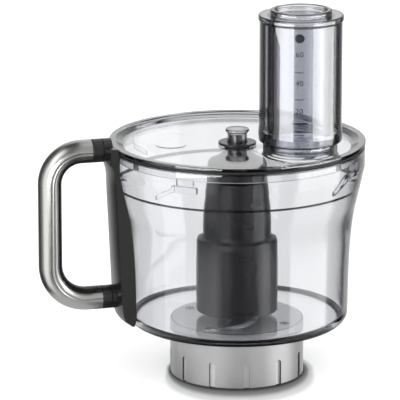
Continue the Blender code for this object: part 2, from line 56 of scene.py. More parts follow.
GAP = 0.3  # clearance between neighbours, in millimetres
MERGE = 0.004  # points nearer than this become one after a boolean, in millimetres


def centre_of(node):
    """The upright axis of a round CAD node, in millimetres."""
    low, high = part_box(node)
    return (low.x + high.x) / 2 / MM, (low.y + high.y) / 2 / MM


BOWL_AXIS = centre_of("base_ring")
FEED_AXIS = centre_of("feed_tube")

# Steps in a full turn
FINE = 160
ROUND = 112
PLAIN = 64

# Heights and radii that several pieces share
LID_RADIUS = 89.0
LID_TOP = 167.2
LID_UNDER = 164.6
PLATE_TOP = 163.1
PLATE_UNDER = 160.6
BOWL_TOP = 163.0
BAND_FOOT = 136.9
RIB_TOP = 152.0
BAYONETS = 4
BAYONET_ANGLE = math.radians(-130)
RAMP_TURN = math.radians(10.4)
RIB_RADIUS = 84.4
BASE_RADIUS = 46.8
BASE_TOP = 37.1
DECK_UNDER = 34.1
POST_ORBIT = 38.0
POST_RADIUS = 3.5
NECK_RADIUS = 25.6
SLEEVE_TOP = 256.6
PUSHER_TOP = 260.6
CUP_TOP = 264.0
CUP_RADIUS = 19.6
GRIP_REACH = 133.4
GRIP_RADIUS = 8.2
ARM_TOP = 164.7
ARM_LOW = 60.2
CORNER_TOP = 22.0
CORNER_LOW = 25.0
HUB_TOP = 139.0
HUB_BELL = 28.5
TANG_START = 26.8
BLADES = (("lower_blade", -96, 47.0, 71.0), ("upper_blade", 84, 66.0, 66.0))

# Camera
AZIMUTH = math.radians(-15)
ELEVATION = math.radians(14.45)
DISTANCE = 2.4131
LENS = 312.05
AIM = Vector((0.00135, 0.0067, 0.12295))


# ---------------------------------------------------------------- camera, light and floor


def make_camera():
    data = bpy.data.cameras.new("camera")
    data.lens = LENS
    data.sensor_width = 36
    data.clip_start = 0.1
    data.clip_end = 50
    made = added("camera", data)
    level = math.cos(ELEVATION)
    away = Vector((math.sin(AZIMUTH) * level, -math.cos(AZIMUTH) * level, math.sin(ELEVATION)))
    made.location = AIM + away * DISTANCE
    made.rotation_mode = "QUATERNION"
    made.rotation_quaternion = (-away).to_track_quat("-Z", "Y")
    bpy.context.scene.camera = made


class Nodes:
    """Short calls for building a node tree."""

    def __init__(self, tree):
        self.tree = tree
        tree.nodes.clear()

    def add(self, kind, values=None, **settings):
        node = self.tree.nodes.new(kind)
        for name, value in settings.items():
            setattr(node, name, value)
        for name, value in (values or {}).items():
            if isinstance(value, bpy.types.NodeSocket):
                self.tree.links.new(value, node.inputs[name])
            else:
                node.inputs[name].default_value = value
        return node

    def math(self, operation, *values):
        node = self.add("ShaderNodeMath", operation=operation)
        for slot, value in enumerate(values):
            if isinstance(value, bpy.types.NodeSocket):
                self.tree.links.new(value, node.inputs[slot])
            else:
                node.inputs[slot].default_value = value
        return node.outputs[0]

    def ramp(self, factor, stops, interpolation="LINEAR"):
        node = self.add("ShaderNodeValToRGB", {"Fac": factor})
        node.color_ramp.interpolation = interpolation
        elements = node.color_ramp.elements
        while len(elements) < len(stops):
            elements.new(0.5)
        for element, (place, colour) in zip(elements, stops):
            element.position = place
            element.color = colour if isinstance(colour, tuple) else (colour, colour, colour, 1)
        return node.outputs["Color"]

    def noise(self, scale, detail=2.0, stretch=(1, 1, 1), roughness=0.5):
        place = self.add("ShaderNodeTexCoord")
        scaled = self.add("ShaderNodeMapping", {"Vector": place.outputs["Object"],
                                                "Scale": stretch})
        made = self.add("ShaderNodeTexNoise", {"Vector": scaled.outputs[0], "Scale": scale,
                                               "Detail": detail, "Roughness": roughness})
        return made.outputs["Fac"]

    def between(self, factor, low, high, start=0.0, end=1.0):
        """Maps the range from start to end onto the range from low to high."""
        node = self.add("ShaderNodeMapRange", {"Value": factor, "From Min": start, "From Max": end,
                                               "To Min": low, "To Max": high})
        return node.outputs["Result"]

    def length(self, x, y):
        squares = self.math("ADD", self.math("MULTIPLY", x, x), self.math("MULTIPLY", y, y))
        return self.math("SQRT", squares)

    def from_axis(self, spot, axis):
        """How far a place is from an upright axis that is given in millimetres."""
        return self.length(self.math("SUBTRACT", spot.outputs["X"], axis[0] * MM),
                           self.math("SUBTRACT", spot.outputs["Y"], axis[1] * MM))

    def mix_shader(self, factor, first, second):
        node = self.add("ShaderNodeMixShader", {"Fac": factor})
        self.tree.links.new(first, node.inputs[1])
        self.tree.links.new(second, node.inputs[2])
        return node.outputs[0]


AMBIENT = 1.42
SOFTBOX = 2.4
CEILING = 0.9

# What reflections see round the object: (azimuth from the camera's in degrees, level)
STUDIO = [
    (-180, 1.00), (-152, 0.70), (-138, 0.04), (-96, 0.03), (-84, 0.25), (-62, 0.35), (-52, 1.15),
    (-24, 1.15), (-15, 0.04), (22, 0.04), (28, 0.75), (38, 0.75), (42, 0.20), (55, 0.20),
    (58, SOFTBOX), (104, SOFTBOX), (107, 0.30), (114, 0.04), (138, 0.05), (152, 0.70), (180, 1.00),
]

# Half the share of it that is left, from straight down at 0 to straight up at 1
TILT = [(0.15, 0.03), (0.34, 0.5), (0.53, 0.5), (0.58, 0.53), (1.0, 0.5)]

# The bands give way to the ceiling, and the light through clear walls falls off, with height
TO_CEILING = [(0.0, 0.0), (0.80, 0.0), (0.97, 1.0)]
OVERHEAD = [(0.0, 1.0), (0.30, 1.0), (0.75, 0.45), (1.0, 0.35)]


def make_world():
    """A studio round the object: white to the camera, with bright and dark bands in reflections."""
    world = bpy.data.worlds.new("studio")
    world.use_nodes = True
    bpy.context.scene.world = world
    n = Nodes(world.node_tree)
    place = n.add("ShaderNodeTexCoord")
    split = n.add("ShaderNodeSeparateXYZ", {"Vector": place.outputs["Generated"]})
    x, y, z = split.outputs
    turn = n.math("ARCTAN2", x, n.math("MULTIPLY", y, -1.0))
    turn = n.math("SUBTRACT", turn, AZIMUTH)
    turn = n.math("WRAP", turn, math.pi, -math.pi)
    share = n.between(turn, 0.0, 1.0, -math.pi, math.pi)
    top = max(level for _, level in STUDIO)
    bands = n.ramp(share, [((angle + 180) / 360, level / top) for angle, level in STUDIO])
    bands = n.math("MULTIPLY", bands, top)
    height = n.ramp(n.math("ABSOLUTE", z), TO_CEILING)
    mirrored = n.add("ShaderNodeMix", {"Factor": height, "A": bands, "B": CEILING}).outputs[0]
    tilt = n.ramp(n.between(z, 0.0, 1.0, -1.0, 1.0), TILT)
    mirrored = n.math("MULTIPLY", mirrored, n.math("MULTIPLY", tilt, 2.0))

    overhead = n.ramp(z, OVERHEAD)
    paths = n.add("ShaderNodeLightPath")
    glossy = n.math("GREATER_THAN", paths.outputs["Glossy Depth"], 0.5)
    diffuse = n.math("GREATER_THAN", paths.outputs["Diffuse Depth"], 0.5)
    level = n.add("ShaderNodeMix", {"Factor": glossy, "A": overhead, "B": mirrored})
    level = n.add("ShaderNodeMix", {"Factor": diffuse, "A": level.outputs[0], "B": AMBIENT})
    level = n.add("ShaderNodeMix", {"Factor": paths.outputs["Is Camera Ray"], "A": level.outputs[0],
                                    "B": 1.0})
    light = n.add("ShaderNodeBackground", {"Color": (1, 1, 1, 1), "Strength": level.outputs[0]})
    n.add("ShaderNodeOutputWorld", {"Surface": light.outputs[0]})


def make_lamp(name, azimuth, height, distance, size, power):
    """A soft area lamp aimed at the middle of the bowl. Azimuth counts from the camera's."""
    data = bpy.data.lights.new(name, "AREA")
    data.shape = "DISK"
    data.size = size
    data.energy = power
    data.use_shadow = False
    made = added(name, data)
    turn = AZIMUTH + math.radians(azimuth)
    target = Vector((BOWL_AXIS[0] * MM, 0, 0.1))
    made.location = target + Vector((math.sin(turn) * distance, -math.cos(turn) * distance, height))
    made.rotation_mode = "QUATERNION"
    made.rotation_quaternion = (target - made.location).to_track_quat("-Z", "Y")


def make_card(name, middle, reach, heights, azimuths, level):
    """A curved card round a piece, which only reflections see.

    Its reach and heights are in metres. Its two azimuths count from the camera's, in degrees.
    """
    steps = 12
    start, end = azimuths
    shape = bmesh.new()
    rows = []
    for i in range(steps + 1):
        turn = AZIMUTH + math.radians(start + (end - start) * i / steps)
        x = middle[0] * MM + math.sin(turn) * reach
        y = middle[1] * MM - math.cos(turn) * reach
        rows.append([shape.verts.new((x, y, z)) for z in heights])
    for first, second in zip(rows, rows[1:]):
        shape.faces.new((first[0], second[0], second[1], first[1]))
    reflected_only(from_bmesh(name, shape), level)


def make_tray(name, near, far, height, level):
    """A level card over or under the grip, which its arms reflect. Millimetres."""
    left, right = TRAY_SIDES
    shape = bmesh.new()
    corners = [(left, near), (right, near), (right, far), (left, far)]
    shape.faces.new([shape.verts.new((x * MM, y * MM, height * MM)) for x, y in corners])
    reflected_only(from_bmesh(name, shape), level)


def reflected_only(card, level):
    """Makes a card glow, and hides it from every ray but reflections."""
    card.visible_camera = False
    card.visible_diffuse = False
    card.visible_shadow = False
    card.visible_transmission = False
    made, n = start_material(card.name)
    glow = n.add("ShaderNodeEmission", {"Color": (1, 1, 1, 1), "Strength": level})
    n.add("ShaderNodeOutputMaterial", {"Surface": glow.outputs[0]})
    card.data.materials.append(made)


# How far the painted shadow on the floor reaches from the base, in millimetres, and its tones
# outward
SHADOW_SIDE = 6.0
SHADOW_FRONT = 34.0
SHADOW_SHIFT = 2.5
SHADOW_TONES = [(0.0, 0.05), (0.25, 0.20), (0.6, 0.62), (1.0, 0.95)]
FLOOR_RADIUS = 7.0
FLOOR_DROP = 0.2


def make_floor():
    """A wide white floor with a soft shadow painted round the base.

    The painted shadow reaches furthest towards the camera, and a little further on the camera's
    right.
    """
    shape = bmesh.new()
    bmesh.ops.create_circle(shape, cap_ends=True, segments=96, radius=FLOOR_RADIUS)
    floor = from_bmesh("floor", shape)
    floor.location = (BOWL_AXIS[0] * MM, 0, -FLOOR_DROP * MM)
    floor.visible_glossy = False
    floor.visible_transmission = False
    made, n = start_material("floor_white_painted_shadow")
    spot = n.add("ShaderNodeTexCoord").outputs["Object"]
    x, y, _ = n.add("ShaderNodeSeparateXYZ", {"Vector": spot}).outputs
    far = n.length(x, y)
    span = n.math("MAXIMUM", far, MM)
    along, across = math.cos(AZIMUTH), math.sin(AZIMUTH)
    near = n.math("SUBTRACT", n.math("MULTIPLY", x, across), n.math("MULTIPLY", y, along))
    right = n.math("ADD", n.math("MULTIPLY", x, along), n.math("MULTIPLY", y, across))
    front = n.math("POWER", n.math("MAXIMUM", n.math("DIVIDE", near, span), 0.0), 2.0)
    reach = n.math("ADD", SHADOW_SIDE * MM, n.math("MULTIPLY", front, SHADOW_FRONT * MM))
    right = n.math("MULTIPLY", n.math("DIVIDE", right, span), SHADOW_SHIFT * MM)
    reach = n.math("ADD", reach, right)
    # Painted shadow: the floor's colour darkens from the base outward over the reach.
    share = n.math("DIVIDE", n.math("SUBTRACT", far, BASE_RADIUS * MM), reach)
    tone = n.ramp(share, SHADOW_TONES, "EASE")
    tone = n.math("MULTIPLY", tone, n.between(n.noise(6.0, 3.0), 0.97, 1.0))
    grey = n.add("ShaderNodeCombineColor", {"Red": tone, "Green": tone, "Blue": tone})
    shader = n.add("ShaderNodeBsdfDiffuse", {"Color": grey.outputs[0], "Roughness": 0.5})
    n.add("ShaderNodeOutputMaterial", {"Surface": shader.outputs[0]})
    floor.data.materials.append(made)


# ---------------------------------------------------------------- materials


def bumped(n, height, strength, distance):
    bump = n.add("ShaderNodeBump", {"Height": height, "Strength": strength, "Distance": distance})
    return bump.outputs["Normal"]


def start_material(name):
    made = bpy.data.materials.new(name)
    made.use_nodes = True
    return made, Nodes(made.node_tree)


def within(n, value, low, high, soft):
    """1 between two values, fading to 0 over a soft margin."""
    made = 1.0
    for edge, sign in ((low, 1), (high, -1)):
        ends = {"Value": value, "From Min": edge - sign * soft, "From Max": edge + sign * soft}
        step = n.add("ShaderNodeMapRange", ends, interpolation_type="SMOOTHSTEP")
        made = n.math("MULTIPLY", step.outputs["Result"], made)
    return made


CLEAR_DENSITY = 28.0
CLEAR_IOR = 1.52
CLEAR_HAZE = 0.02
# Colour of the painted shade on clear walls
PAINTED_SHADE_COLOUR = (0.015, 0.015, 0.018, 1)


def clear_plastic(name, tint, turn, flat=0.0, zones=()):
    """Polished clear plastic, darker where thick, with painted shade edge on and in its zones.

    Turn is where the painted edge-on shade starts and is full. Flat is the share that level faces
    get. A zone is (low, high, inner, outer, strength, axis) in millimetres: a painted shade ring.
    """
    made, n = start_material(name)
    waves = n.noise(9.0, 1.5)
    grazing = n.add("ShaderNodeLayerWeight", {"Blend": 0.5})
    place = n.add("ShaderNodeTexCoord")
    up = n.add("ShaderNodeSeparateXYZ", {"Vector": place.outputs["Normal"]}).outputs["Z"]
    wall = n.math("SUBTRACT", 1.0, n.math("POWER", n.math("ABSOLUTE", up), 1.5))
    wall = n.math("MAXIMUM", wall, flat)
    # Painted shade: upright walls seen edge on are darkened in colour.
    painted_shade = n.ramp(grazing.outputs["Facing"], [(turn[0], 0.0), (turn[1], 1.0)])
    painted_shade = n.math("MULTIPLY", painted_shade, wall)
    spot = n.add("ShaderNodeSeparateXYZ", {"Vector": place.outputs["Object"]})
    # Painted shade: each zone darkens the colour of a ring of the wall.
    for low, high, inner, outer, strength, axis in zones:
        away = n.from_axis(spot, axis)
        ring = n.math("MULTIPLY", within(n, spot.outputs["Z"], low * MM, high * MM, 0.1 * MM),
                      within(n, away, inner * MM, outer * MM, 0.1 * MM))
        painted_shade = n.math("MAXIMUM", painted_shade, n.math("MULTIPLY", ring, strength))
    shade = n.ramp(painted_shade, [(0.0, tint), (1.0, PAINTED_SHADE_COLOUR)])
    shader = n.add("ShaderNodeBsdfPrincipled", {
        "Base Color": shade, "IOR": CLEAR_IOR, "Transmission Weight": 1.0,
        "Roughness": n.between(n.noise(40.0, 3.0), 0.0, CLEAR_HAZE),
        "Normal": bumped(n, waves, 0.05, 0.002),
    })
    paths = n.add("ShaderNodeLightPath")
    open_way = n.add("ShaderNodeBsdfTransparent", {"Color": (0.93, 0.935, 0.94, 1)})
    surface = n.mix_shader(paths.outputs["Is Shadow Ray"], shader.outputs[0], open_way.outputs[0])
    body = n.add("ShaderNodeVolumeAbsorption", {"Color": (0.55, 0.57, 0.62, 1),
                                                "Density": CLEAR_DENSITY})
    n.add("ShaderNodeOutputMaterial", {"Surface": surface, "Volume": body.outputs[0]})
    return made


def moulded(name, dark, light, rough, grain=900.0, metallic=0.0, slots=None):
    """Moulded plastic: a fine spark-eroded grain with slow changes of tone and gloss.

    Slots, as (floor radius, mouth radius), get painted shade on their side walls and painted light
    on their floor.
    """
    made, n = start_material(name)
    shade = n.ramp(n.noise(14.0, 4.0), [(0.25, dark), (0.75, light)])
    if slots:
        place = n.add("ShaderNodeTexCoord").outputs["Object"]
        away = n.from_axis(n.add("ShaderNodeSeparateXYZ", {"Vector": place}), BOWL_AXIS)
        # Painted shade on the slots' side walls and painted light on their floor.
        side = within(n, away, slots[0] * MM, slots[1] * MM, 0.05 * MM)
        floor = within(n, away, (slots[0] - 0.6) * MM, slots[0] * MM, 0.05 * MM)
        shade = n.add("ShaderNodeMix", {"Factor": side, 6: shade, 7: (0.06, 0.06, 0.06, 1)},
                      data_type="RGBA").outputs[2]
        shade = n.add("ShaderNodeMix", {"Factor": floor, 6: shade, 7: (0.62, 0.62, 0.62, 1)},
                      data_type="RGBA").outputs[2]
    shader = n.add("ShaderNodeBsdfPrincipled", {
        "Base Color": shade, "Metallic": metallic,
        "Roughness": n.between(n.noise(55.0, 3.0), rough[0], rough[1]),
        "Normal": bumped(n, n.noise(grain, 2.0), 0.35, 0.00008),
    })
    n.add("ShaderNodeOutputMaterial", {"Surface": shader.outputs[0]})
    return made


def metal(name, colour, rough, stretch, scale=260.0):
    """Metal with fine lines along one direction, which the stretch sets."""
    made, n = start_material(name)
    lines = n.noise(scale, 3.0, stretch)
    low = tuple(c * 0.88 for c in colour[:3]) + (1,)
    shade = n.ramp(n.noise(scale * 0.6, 2.0, stretch), [(0.3, low), (0.7, colour)])
    shader = n.add("ShaderNodeBsdfPrincipled", {
        "Base Color": shade, "Metallic": 1.0,
        "Roughness": n.between(lines, rough[0], rough[1]),
        "Normal": bumped(n, lines, 0.3, 0.00002),
    })
    n.add("ShaderNodeOutputMaterial", {"Surface": shader.outputs[0]})
    return made


# Rings of painted shade on the clear pieces: dark lines at rims, corners, feet and lips
BOWL_ZONES = [
    (37.0, 41.4, 70.6, 78, 1.0, BOWL_AXIS),  # lower corner
    (161.6, 163.5, 86, 89, 0.8, BOWL_AXIS),  # rim
    (135.8, 137.6, 82.2, 85.5, 1.0, BOWL_AXIS),  # foot of the band
]
LID_ZONES = [
    (163.6, 167.0, 79.8, 84.3, 0.52, BOWL_AXIS),  # slope inside the rim
    (163.9, 165.9, 84.6, 90, 1.0, BOWL_AXIS),  # rim
]
TUBE_ZONES = [
    (171.5, 173.3, 25, 29, 1.0, FEED_AXIS),  # foot
    (255.4, 257, 25, 29, 0.7, FEED_AXIS),  # lip
]
PUSHER_ZONES = [
    (256.5, 257.5, 27, 30, 0.9, FEED_AXIS),  # under the lip
    (259.6, 261, 27.6, 30, 0.6, FEED_AXIS),  # top of the lip
]
CUP_ZONES = [
    (263.2, 264.5, 20.2, 22, 0.9, FEED_AXIS),  # outer edge of the lip
    (263.4, 264.5, 17, 18.4, 0.7, FEED_AXIS),  # inner edge of the lip
]


def make_materials():
    tube = (0.905, 0.91, 0.928, 1)
    wall = (0.52, 0.80)
    narrow = (0.38, 0.66)
    return {
        "clear_bowl": clear_plastic("clear_bowl", (0.93, 0.935, 0.945, 1), (0.60, 0.79), 0.30,
                                    BOWL_ZONES),
        "clear_lid": clear_plastic("clear_lid", (0.95, 0.955, 0.965, 1), wall, zones=LID_ZONES),
        "clear_boss": clear_plastic("clear_boss", (0.63, 0.63, 0.64, 1), wall),
        "clear_tube": clear_plastic("clear_tube", tube, narrow, zones=TUBE_ZONES),
        "clear_pusher": clear_plastic("clear_pusher", tube, narrow, zones=PUSHER_ZONES),
        "clear_cup": clear_plastic("clear_cup", tube, narrow, zones=CUP_ZONES),
        "base_grey": moulded("base_grey", (0.39, 0.39, 0.393, 1), (0.44, 0.44, 0.443, 1),
                             (0.30, 0.42), metallic=0.35, slots=(45.1, 46.4)),
        "knife_grey": moulded("knife_grey", (0.010, 0.010, 0.011, 1), (0.018, 0.018, 0.020, 1),
                              (0.20, 0.30)),
        "handle_dark": moulded("handle_dark", (0.008, 0.008, 0.008, 1), (0.015, 0.015, 0.015, 1),
                               (0.18, 0.30)),
        "seal_rubber": moulded("seal_rubber", (0.008, 0.008, 0.008, 1), (0.016, 0.016, 0.016, 1),
                               (0.5, 0.7), grain=500.0),
        "nylon": moulded("nylon", (0.66, 0.65, 0.60, 1), (0.74, 0.73, 0.68, 1), (0.4, 0.55)),
        "handle_metal": metal("handle_metal", (0.50, 0.50, 0.485, 1), (0.24, 0.34), (1, 60, 1)),
        "blade_steel": metal("blade_steel", (0.60, 0.60, 0.62, 1), (0.16, 0.26), (1, 30, 1)),
        "steel": metal("steel", (0.56, 0.56, 0.57, 1), (0.22, 0.36), (1, 1, 40)),
        "bronze": metal("bronze", (0.52, 0.36, 0.19, 1), (0.35, 0.5), (1, 1, 1), scale=900.0),
        "print_dark": moulded("print_dark", (0.02, 0.02, 0.03, 1), (0.035, 0.035, 0.05, 1),
                              (0.4, 0.5)),
    }


# ---------------------------------------------------------------- shapes


def polar(radius, angle):
    return radius * math.cos(angle), radius * math.sin(angle)


def round_about(count, first=0.0):
    return [first + 2 * math.pi * i / count for i in range(count)]


def rounded(points, steps=4):
    """Replaces each corner that gives a radius by an arc that meets both of its sides."""
    made = []
    count = len(points)
    for i, point in enumerate(points):
        here = Vector(point[:2])
        radius = point[2] if len(point) > 2 else 0
        if not radius:
            made.append(tuple(here))
            continue
        back = Vector(points[i - 1][:2]) - here
        on = Vector(points[(i + 1) % count][:2]) - here
        half = back.angle(on) / 2
        reach = min(radius / math.tan(half), back.length * 0.48, on.length * 0.48)
        radius = reach * math.tan(half)
        inward = (back.normalized() + on.normalized()).normalized()
        middle = here + inward * (radius / math.sin(half))
        first = here + back.normalized() * reach - middle
        last = here + on.normalized() * reach - middle
        sweep = first.angle_signed(last)
        for k in range(steps + 1):
            turn = Matrix.Rotation(-sweep * k / steps, 2)
            made.append(tuple(middle + turn @ first))
    return made


def smooth(points, steps):
    """A Catmull-Rom curve through the points, without its last point."""
    whole = [Vector(p) for p in points]
    whole = [whole[0] * 2 - whole[1]] + whole + [whole[-1] * 2 - whole[-2]]
    made = []
    for a, b, c, d in zip(whole, whole[1:], whole[2:], whole[3:]):
        for k in range(steps):
            t = k / steps
            made.append(tuple(0.5 * (2 * b + (c - a) * t + (2 * a - 5 * b + 4 * c - d) * t * t
                                     + (3 * b - a - 3 * c + d) * t ** 3)))
    return made


def arc(centre, radius, start, end, steps):
    """Points on an arc, with angles in degrees from the +R direction."""
    turns = [math.radians(start + (end - start) * i / steps) for i in range(steps + 1)]
    return [(centre[0] + radius * math.cos(t), centre[1] + radius * math.sin(t)) for t in turns]


def added(name, data):
    made = bpy.data.objects.new(name, data)
    bpy.context.scene.collection.objects.link(made)
    return made


def from_bmesh(name, shape):
    mesh = bpy.data.meshes.new(name)
    shape.to_mesh(mesh)
    shape.free()
    return added(name, mesh)


def turned(name, profile, steps, axis=BOWL_AXIS, closed=True):
    """Turns a profile about an upright axis. An open profile starts and ends on the axis."""
    shape = bmesh.new()
    turns = round_about(steps)
    rings = []
    for radius, height in profile:
        if radius < 1e-6:
            rings.append([shape.verts.new((axis[0] * MM, axis[1] * MM, height * MM))])
            continue
        rings.append([shape.verts.new(((axis[0] + radius * math.cos(t)) * MM,
                                       (axis[1] + radius * math.sin(t)) * MM, height * MM))
                      for t in turns])
    pairs = list(zip(rings, rings[1:]))
    if closed:
        pairs.append((rings[-1], rings[0]))
    for upper, lower in pairs:
        for i in range(steps):
            j = (i + 1) % steps
            corners = [upper[i % len(upper)], lower[i % len(lower)], lower[j % len(lower)],
                       upper[j % len(upper)]]
            corners = list(dict.fromkeys(corners))
            if len(corners) > 2:
                shape.faces.new(corners)
    bmesh.ops.recalc_face_normals(shape, faces=shape.faces)
    return from_bmesh(name, shape)


def prism(name, outline, low, high, place):
    """A flat outline raised from low to high, then moved by a matrix. Units are millimetres."""
    shape = bmesh.new()
    base = [shape.verts.new((x * MM, y * MM, low * MM)) for x, y in outline]
    top = [shape.verts.new((x * MM, y * MM, high * MM)) for x, y in outline]
    shape.faces.new(base[::-1])
    shape.faces.new(top)
    count = len(outline)
    for i in range(count):
        j = (i + 1) % count
        shape.faces.new((base[i], base[j], top[j], top[i]))
    bmesh.ops.recalc_face_normals(shape, faces=shape.faces)
    made = from_bmesh(name, shape)
    made.data.transform(place)
    return made


def at(x, y, z=0.0):
    return Matrix.Translation((x * MM, y * MM, z * MM))


def beside(radius, angle):
    """A place at a radius and angle from the bowl's axis."""
    x, y = polar(radius, angle)
    return BOWL_AXIS[0] + x, BOWL_AXIS[1] + y


def facing(radius, angle):
    """Stands a flat outline upright at a radius: its x runs along the wall and its y goes up."""
    return (at(*beside(radius, angle)) @ Matrix.Rotation(angle + math.pi / 2, 4, "Z")
            @ Matrix.Rotation(math.pi / 2, 4, "X"))


def boolean(part, tools, operation):
    """Joins the tools to the part, or cuts them out of it, and removes them."""
    for tool in tools:
        step = part.modifiers.new("step", "BOOLEAN")
        step.operation = operation
        step.object = tool
        step.solver = "EXACT"
    settle(part)
    for tool in tools:
        bpy.data.objects.remove(tool, do_unlink=True)
    return part


def settle(part):
    """Makes the modifiers of an object final and merges points that almost touch."""
    bpy.context.view_layer.update()
    seen = part.evaluated_get(bpy.context.evaluated_depsgraph_get())
    mesh = bpy.data.meshes.new_from_object(seen)
    shape = bmesh.new()
    shape.from_mesh(mesh)
    bmesh.ops.remove_doubles(shape, verts=shape.verts, dist=MERGE * MM)
    bmesh.ops.dissolve_degenerate(shape, dist=MERGE * MM, edges=shape.edges)
    shape.to_mesh(mesh)
    shape.free()
    part.modifiers.clear()
    old = part.data
    part.data = mesh
    bpy.data.meshes.remove(old)


def bevelled(part, width, angle, segments):
    step = part.modifiers.new("edges", "BEVEL")
    step.width = width * MM
    step.segments = segments
    step.limit_method = "ANGLE"
    step.angle_limit = math.radians(angle)
    step.use_clamp_overlap = True
    settle(part)
    return part


def finished(part, finish, body, nodes, sharp=42):
    """Gives a piece its material, smooth shading and the body it rides on."""
    part.data.materials.clear()
    part.data.materials.append(MATERIALS[finish])
    for face in part.data.polygons:
        face.material_index = 0
    part.data.shade_smooth()
    part.data.set_sharp_from_angle(angle=math.radians(sharp))
    step = part.modifiers.new("normals", "WEIGHTED_NORMAL")
    step.keep_sharp = True
    step.weight = 50
    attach(part, body)
    if nodes:
        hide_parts(*nodes)
    return part


# ---------------------------------------------------------------- bowl


def make_bowl():
    wall = [(88.1, BOWL_TOP)] + arc((88.1, BOWL_TOP - 0.6), 0.6, 60, 0, 2)
    wall += smooth([(88.7, 150), (86.9, 141), (84.5, 130), (82.1, 119.4), (80.1, 106), (78.4, 82),
                    (77.6, 46)], 5)
    wall += arc((69.9, 45.1), 7.7, 0, -90, 14)
    under = rounded([(46, 37.4), (7.0, 37.4, 0.5), (7.0, 107, 0.5), (9.5, 107, 0.6),
                     (11.5, 40.4, 2.5), (46, 40.4)])
    inside = arc((68.4, 46.9), 6.5, -90, 0, 10)
    inside += smooth([(74.9, 47), (75.7, 82), (77.3, 106), (80.8, 124), (82.5, BAND_FOOT - 0.6)], 5)
    inside += [(82.5, BAND_FOOT - 0.6), (82.8, BAND_FOOT - 0.1), (84.3, BAND_FOOT),
               (84.6, BAND_FOOT + 0.3)]
    inside += smooth([(84.8, 138), (86.2, 150), (86.2, BOWL_TOP - 0.5)], 3)
    inside += [(86.2, BOWL_TOP - 0.5), (86.5, BOWL_TOP)]
    bowl = turned("bowl_shell", wall + under + inside, FINE)

    tools = []
    for angle in round_about(4, math.pi / 4):
        tools.append(turned("post", [(0, 39), (POST_RADIUS, 39), (POST_RADIUS, 17.2), (1.6, 17.2),
                                     (1.6, 29.7), (0, 29.7)], 24, beside(POST_ORBIT, angle),
                            closed=False))
    for middle in round_about(BAYONETS, BAYONET_ANGLE):
        flat = rounded([(-9, 147.5), (9, 147.5, 1), (9, RIB_TOP, 1), (-9, RIB_TOP)])
        tools.append(prism("flat", flat, -1.5, 1.5, facing(RIB_RADIUS + 0.6, middle)))
        tools.append(prism("ramp", [(-7.5, 140), (7.5, 148.5), (7.5, 151.5), (-7.5, 142.8)],
                           -1.5, 1.5, facing(RIB_RADIUS, middle - RAMP_TURN)))
    boolean(bowl, tools, "UNION")
    return finished(bowl, "clear_bowl", "root", ["bowl"])


# ---------------------------------------------------------------- lid


def make_lid():
    profile = rounded([
        (LID_RADIUS, LID_TOP, 0.7), (LID_RADIUS, LID_UNDER, 0.5), (84.3, LID_UNDER, 0.4),
        (84.3, 156.1, 0.4), (82.3, 156.1, 0.4), (82.3, PLATE_TOP, 0.4), (79, PLATE_UNDER, 0.8),
        (5.3, PLATE_UNDER),
        (5.3, PLATE_TOP), (79, PLATE_TOP, 1.2), (84.6, LID_TOP, 0.6),
    ])
    lid = turned("lid_shell", profile, FINE)
    tabs = [prism("tab", rounded([(-6, 152.3, 0.8), (6, 152.3, 0.8), (6, 157.4), (-6, 157.4)]),
                  -1.25, 1.25, facing(83.75, angle))
            for angle in round_about(BAYONETS, BAYONET_ANGLE)]
    tabs.append(turned("neck", [(0, 180), (NECK_RADIUS, 180), (NECK_RADIUS, PLATE_TOP + 1.0),
                                (NECK_RADIUS + 0.4, PLATE_TOP + 0.3),
                                (NECK_RADIUS + 1.2, PLATE_TOP - 0.1),
                                (NECK_RADIUS + 1.2, PLATE_UNDER + 0.5), (0, PLATE_UNDER + 0.5)],
                       ROUND, FEED_AXIS, closed=False))
    pad = arc((-46, 19), 10.5, 180, 0, 16) + arc((-46, -3), 10.5, 0, -180, 16)
    tabs.append(prism("pad", pad, PLATE_TOP - 0.5, PLATE_TOP + 0.5,
                      at(*BOWL_AXIS) @ Matrix.Rotation(AZIMUTH, 4, "Z")))
    boolean(lid, tabs, "UNION")
    bore = turned("bore", [(0, 190), (23.4, 190), (23.4, 150), (0, 150)], ROUND, FEED_AXIS,
                  closed=False)
    boolean(lid, [bore], "DIFFERENCE")
    finished(lid, "clear_lid", "lid", ["lid"])

    boss = turned("boss", [(0, 174.6)] + rounded([
        (7.8, 174.6, 0.6), (8.4, 172.9, 0.8), (6.85, 171.0, 0.6), (6.85, PLATE_TOP + GAP, 0.3),
        (5.3, PLATE_TOP + GAP), (5.3, 171.4)]) + [(0, 171.4)], PLAIN, closed=False)
    finished(boss, "clear_boss", "lid", ["lid_boss"])
    washer = turned("washer", rounded([
        (13.2, 165, 0.5), (13.2, PLATE_TOP + GAP, 0.3), (7.15, PLATE_TOP + GAP),
        (7.15, 165, 0.3)]), PLAIN)
    finished(washer, "knife_grey", "lid", ["boss_washer"])
    seal = turned("rim_seal", rounded([
        (88.4, 164.3, 0.4), (88.4, 163.3, 0.4), (84.7, 163.3, 0.4), (84.7, 164.3, 0.4)], 3), FINE)
    finished(seal, "seal_rubber", "lid_seal", ["lid_seal"])


